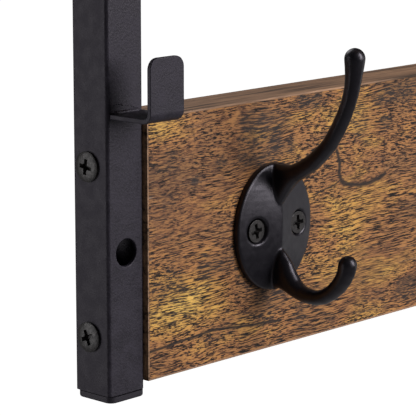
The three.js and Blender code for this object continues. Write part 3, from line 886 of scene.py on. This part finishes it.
def in_metres(stations):
    """The stations in metres, with a half ball added at the tip."""
    made = [(o * MM, u * MM, math.radians(c), w * MM, h * MM) for o, u, c, w, h in stations]
    out, up, climb, width, _ = made[-1]
    for step in range(1, TIP_STEPS + 1):
        angle = math.pi / 2 * min(step / TIP_STEPS, 0.96)
        rise = width * math.sin(angle)
        radius = width * math.cos(angle)
        made.append((out + rise * math.cos(climb), up + rise * math.sin(climb), climb, radius, radius))
    return made


class RACK_OT_coat_hooks(bpy.types.Operator):
    """Casts one double coat hook and copies it along the board"""
    bl_idname = "rack.coat_hooks"
    bl_label = "Coat hooks"

    def execute(self, context):
        sizes = context.scene.rack_sizes
        enamel = cast_enamel(context.scene.rack_colours)
        hook = self.cast(sizes)
        for index, node in enumerate(HOOK_NODES):
            place = (centre_of(node).x, BOARD_FRONT, centre_of(f"{node}_screw_left").z)
            twin = copy_of(hook, f"double_hook_{index + 1}", Matrix.Translation(place))
            shade(twin, 60)
            hand_over(twin, enamel, "cast_hook", node)
        discard(hook)
        return {"FINISHED"}

    def base(self, sizes):
        """Oval plate with a thin rim, whose two facets rise to a ridge down its middle. It
        runs on behind the board's face, so that the casting can be cut off flat there."""
        backing = 8 * sizes.cast_detail
        plate = primitive(
            "double_hook", bpy.ops.mesh.primitive_cylinder_add, vertices=96, radius=0.5,
            depth=sizes.base_rim + backing, location=(0, (backing - sizes.base_rim) / 2, 0),
            rotation=(math.pi / 2, 0, 0), scale=(sizes.base_width, sizes.base_height, 1))
        half = sizes.base_height / 2
        rows = 12
        with editing(plate, "VERT"):
            for cut_point, cut_normal in [((0, 0, 0), (1, 0, 0))] + [
                    ((0, 0, half * row / rows), (0, 0, 1)) for row in range(1 - rows, rows)]:
                bpy.ops.mesh.select_all(action="SELECT")
                bpy.ops.mesh.bisect(plane_co=cut_point, plane_no=cut_normal)
            for row in range(1 - rows, rows):
                level = half * row / rows
                pick(plate, "VERT", lambda at, normal: abs(at.x) < NEAR and at.y < -NEAR
                     and abs(at.z - level) < NEAR)
                bpy.ops.transform.translate(
                    value=(0, -sizes.base_rise * (1 - (row / rows) ** 2), 0))
        return plate

    def cast(self, sizes):
        hook = self.base(sizes)
        join(hook, sweep("upper", in_metres(UPPER_PRONG), 28), sweep("lower", in_metres(LOWER_PRONG), 28))
        for sign in (-1, 1):
            cut(hook, self.pocket(sign * sizes.hook_screw_spacing / 2, sizes))
        modify(hook, "REMESH", mode="VOXEL", voxel_size=sizes.cast_detail, adaptivity=0)
        modify(hook, "SMOOTH", factor=0.5, iterations=24)
        clip(hook, (0, 0, 0), (0, 1, 0))
        face_outwards(hook)
        return hook

    def pocket(self, x, sizes):
        """Countersunk hole with a flat-sided pocket for the screw's head."""
        wide, hole = sizes.countersink / 2, sizes.hook_hole / 2
        floor = 0.2 * MM - sizes.hook_screw_top
        tool = rod("tool", wide, (x, floor, 0), (x, floor - TUBE, 0), 48)
        with editing(tool):
            pick(tool, "FACE", lambda at, normal: normal.y > 0.9)
            extend((0, wide - hole, 0), (hole / wide, 1, hole / wide), (x, 0, 0))
            extend((0, TUBE, 0))
        return tool


class RACK_OT_screws(bpy.types.Operator):
    """Turns the side screws and the coat hooks' screws"""
    bl_idname = "rack.screws"
    bl_label = "Screws"

    def execute(self, context):
        sizes = context.scene.rack_sizes
        oxide = screw_oxide(context.scene.rack_colours)
        pan = self.pan_screw(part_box(SIDE_SCREWS[0])[1].x - POST_LOW.x, sizes)
        for index, node in enumerate(SIDE_SCREWS):
            _, y, z = centre_of(node)
            side = -1 if node.startswith("left") else 1
            turned = Matrix.Rotation(side * math.pi / 2, 4, "Y")
            self.place(pan, node, (-side * POST_LOW.x, y, z), turned, self.clocking(index), oxide)
        flat = self.flat_screw(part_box(HOOK_SCREWS[0])[1].y - BOARD_FRONT + sizes.hook_screw_top, sizes)
        turned = Matrix.Rotation(math.pi / 2, 4, "X")
        for index, node in enumerate(HOOK_SCREWS):
            x, _, z = centre_of(node)
            self.place(flat, node, (x, BOARD_FRONT - sizes.hook_screw_top, z), turned,
                       self.clocking(index + 3) * 0.1, oxide)
        discard(pan)
        discard(flat)
        return {"FINISHED"}

    def clocking(self, index):
        """How far a screw's cross is turned, as no two stop alike."""
        return math.radians((82 + index * 31) % 90)

    def place(self, screw, node, seat, turned, clocking, oxide):
        name = node.replace("screw", "fixing")
        twin = copy_of(screw, name, Matrix.Translation(seat) @ turned @ Matrix.Rotation(clocking, 4, "Z"))
        shade(twin, 40)
        hand_over(twin, oxide, "black_screw", node)

    def recess(self, top, sizes):
        """Cross-shaped cutter with a stout middle that narrows downwards."""
        half, reach = sizes.recess_width / 2, sizes.recess_reach
        bottom, above = top - sizes.recess_depth, top + MM
        cutter = rod("tool", sizes.recess_width * 0.95, (0, 0, bottom), (0, 0, above), 8)
        for across, along in ((reach / 2, half), (half, reach / 2)):
            join(cutter, block("tool", (-across, -along, bottom), (across, along, above)))
        with editing(cutter):
            pick(cutter, "FACE", lambda at, normal: normal.z < -0.9)
            bpy.ops.transform.resize(value=(0.55, 0.55, 1), center_override=(0, 0, 0))
        return cutter

    def shank(self, start, radius, depth, pitch):
        """Threads the selected bottom face down to a point."""
        turns = int((depth - 3 * radius) / pitch)
        crest, root = radius, radius * 0.72
        bpy.ops.transform.resize(value=(root / start, root / start, 1), center_override=(0, 0, 0))
        for _ in range(turns):
            for scale, down in ((crest / root, 0.45), (root / crest, 0.3), (1, 0.25)):
                extend((0, 0, -down * pitch), (scale, scale, 1))
        extend((0, 0, turns * pitch - depth), (0.1, 0.1, 1))

    def crown(self, radius, skirt, height):
        """Rings of the head's top: a rounded shoulder and then a nearly flat crown."""
        for step in range(1, 9):
            inward = (step / 8) ** 1.8 * 0.92
            yield radius * (1 - inward), skirt + (height - skirt) * (1 - (1 - inward) ** 4)

    def pan_screw(self, depth, sizes):
        radius, height = sizes.pan_head / 2, sizes.pan_height
        skirt = height * 0.6
        head = rod("pan_screw", radius, (0, 0, 0), (0, 0, skirt), 48)
        with editing(head):
            pick(head, "FACE", lambda at, normal: normal.z > 0.9)
            old_radius, old_height = radius, skirt
            for new_radius, new_height in self.crown(radius, skirt, height):
                bpy.ops.mesh.inset(thickness=old_radius - new_radius)
                bpy.ops.transform.translate(value=(0, 0, new_height - old_height))
                old_radius, old_height = new_radius, new_height
            pick(head, "FACE", lambda at, normal: normal.z < -0.9)
            bpy.ops.mesh.inset(thickness=radius * 0.45)
            bpy.ops.mesh.extrude_region()
            self.shank(radius * 0.55, sizes.side_shank / 2, depth, sizes.side_pitch)
        cut(head, self.recess(height, sizes))
        return head

    def flat_screw(self, depth, sizes):
        radius, neck = sizes.flat_head / 2, sizes.hook_shank / 2
        head = rod("flat_screw", radius, (0, 0, -0.3 * MM), (0, 0, 0), 48)
        bevel_edges(head, 0.12 * MM, 2, lambda at, along: at.z > -NEAR)
        with editing(head):
            pick(head, "FACE", lambda at, normal: normal.z < -0.9)
            extend((0, 0, neck - radius), (neck / radius, neck / radius, 1))
            bpy.ops.mesh.extrude_region()
            self.shank(neck, neck, depth - radius, sizes.hook_pitch)
        cut(head, self.recess(0, sizes))
        return head


# Camera: what it looks at on the hook board's front, from where, and its lens
VIEW_TARGET = Vector((-0.25862, -0.018, 0.00938))
VIEW_AZIMUTH = -46.75
VIEW_ELEVATION = 11.232
VIEW_DISTANCE = 0.67996
VIEW_LENS = 191.07

# Soft lights: name, azimuth, elevation, distance, width, height and power
LIGHTS = (
    ("front_softbox", 27, 24, 1.6, 0.75, 1.3, 30),
    ("side_softbox", -125, -2, 1.6, 0.9, 1.2, 7.4),
    ("right_reflector", 72, -6, 1.6, 0.7, 0.9, 1.3),
    ("rear_softbox", 168, 38, 1.8, 1.2, 1.2, 11),
)
FLOOR_DROP = 1.75
FLOOR_SIZE = 60
FLOOR_GLOW = 0.075
SKY_GLOW = 0.05


class RACK_OT_stage(bpy.types.Operator):
    """Sets the camera, the soft lights and the pale floor"""
    bl_idname = "rack.stage"
    bl_label = "Camera, lights and floor"

    def execute(self, context):
        self.add_camera(context.scene)
        for light in LIGHTS:
            self.add_light(*light)
        self.add_floor()
        self.add_world(context.scene)
        context.scene.view_settings.view_transform = "Standard"
        return {"FINISHED"}

    def aimed(self, azimuth, elevation, distance):
        """A place round the target, and the turn that looks from there at the target."""
        azimuth, elevation = math.radians(azimuth), math.radians(elevation)
        towards = Vector((math.sin(azimuth) * math.cos(elevation),
                          -math.cos(azimuth) * math.cos(elevation), math.sin(elevation)))
        return {"location": VIEW_TARGET + towards * distance,
                "rotation": (-towards).to_track_quat("-Z", "Y").to_euler()}

    def add_camera(self, scene):
        bpy.ops.object.camera_add(**self.aimed(VIEW_AZIMUTH, VIEW_ELEVATION, VIEW_DISTANCE))
        camera = bpy.context.object
        camera.name = "camera"
        camera.data.lens = VIEW_LENS
        camera.data.sensor_width = 36
        camera.data.clip_start = 0.01
        camera.data.clip_end = 100
        scene.camera = camera

    def add_light(self, name, azimuth, elevation, distance, width, height, power):
        bpy.ops.object.light_add(type="AREA", **self.aimed(azimuth, elevation, distance))
        light = bpy.context.object
        light.name = name
        light.data.shape = "RECTANGLE"
        light.data.size = width
        light.data.size_y = height
        light.data.energy = power

    def seen_white(self, tree, grey):
        """White where the camera looks straight at it, and grey for what it lights."""
        path = tree.nodes.new("ShaderNodeLightPath")
        level = tree.nodes.new("ShaderNodeMapRange")
        level.inputs["To Min"].default_value = grey
        level.inputs["To Max"].default_value = 1.0
        tree.links.new(path.outputs["Is Camera Ray"], level.inputs["Value"])
        return level.outputs["Result"]

    def add_floor(self):
        bpy.ops.object.select_all(action="DESELECT")
        bpy.ops.mesh.primitive_plane_add(size=FLOOR_SIZE, location=(0, 0, POST_LOW.z - FLOOR_DROP))
        floor = bpy.context.object
        floor.name = "pale_floor"
        material = bpy.data.materials.new("pale_floor")
        material.use_nodes = True
        shader = material.node_tree.nodes["Principled BSDF"]
        shader.inputs["Base Color"].default_value = (0.8, 0.8, 0.8, 1)
        shader.inputs["Roughness"].default_value = 1
        shader.inputs["Emission Color"].default_value = (1, 1, 1, 1)
        material.node_tree.links.new(
            self.seen_white(material.node_tree, FLOOR_GLOW), shader.inputs["Emission Strength"])
        floor.data.materials.append(material)

    def add_world(self, scene):
        world = bpy.data.worlds.new("studio")
        world.use_nodes = True
        background = world.node_tree.nodes["Background"]
        background.inputs["Color"].default_value = (1, 1, 1, 1)
        world.node_tree.links.new(
            self.seen_white(world.node_tree, SKY_GLOW), background.inputs["Strength"])
        scene.world = world


OPERATORS = (
    RACK_OT_steel_frame, RACK_OT_strip_hooks, RACK_OT_end_caps, RACK_OT_boards,
    RACK_OT_coat_hooks, RACK_OT_screws, RACK_OT_stage,
)


class RACK_PT_pieces(bpy.types.Panel):
    bl_label = "Coat Rack"
    bl_idname = "RACK_PT_pieces"
    bl_space_type = "VIEW_3D"
    bl_region_type = "UI"
    bl_category = "Coat Rack"

    def draw(self, context):
        for operator in OPERATORS:
            self.layout.operator(operator.bl_idname)
        for group in (context.scene.rack_sizes, context.scene.rack_colours):
            for key in group.__annotations__:
                self.layout.prop(group, key, text=key.replace("_", " ").capitalize())


CLASSES = (RackSizes, RackColours, *OPERATORS, RACK_PT_pieces)


def register():
    for one in CLASSES:
        bpy.utils.register_class(one)
    bpy.types.Scene.rack_sizes = bpy.props.PointerProperty(type=RackSizes)
    bpy.types.Scene.rack_colours = bpy.props.PointerProperty(type=RackColours)


def unregister():
    del bpy.types.Scene.rack_colours
    del bpy.types.Scene.rack_sizes
    for one in reversed(CLASSES):
        bpy.utils.unregister_class(one)


def main():
    register()
    bpy.ops.rack.steel_frame()
    bpy.ops.rack.strip_hooks()
    bpy.ops.rack.end_caps()
    bpy.ops.rack.boards()
    bpy.ops.rack.coat_hooks()
    bpy.ops.rack.screws()
    bpy.ops.rack.stage()


if __name__ == "__main__":
    main()
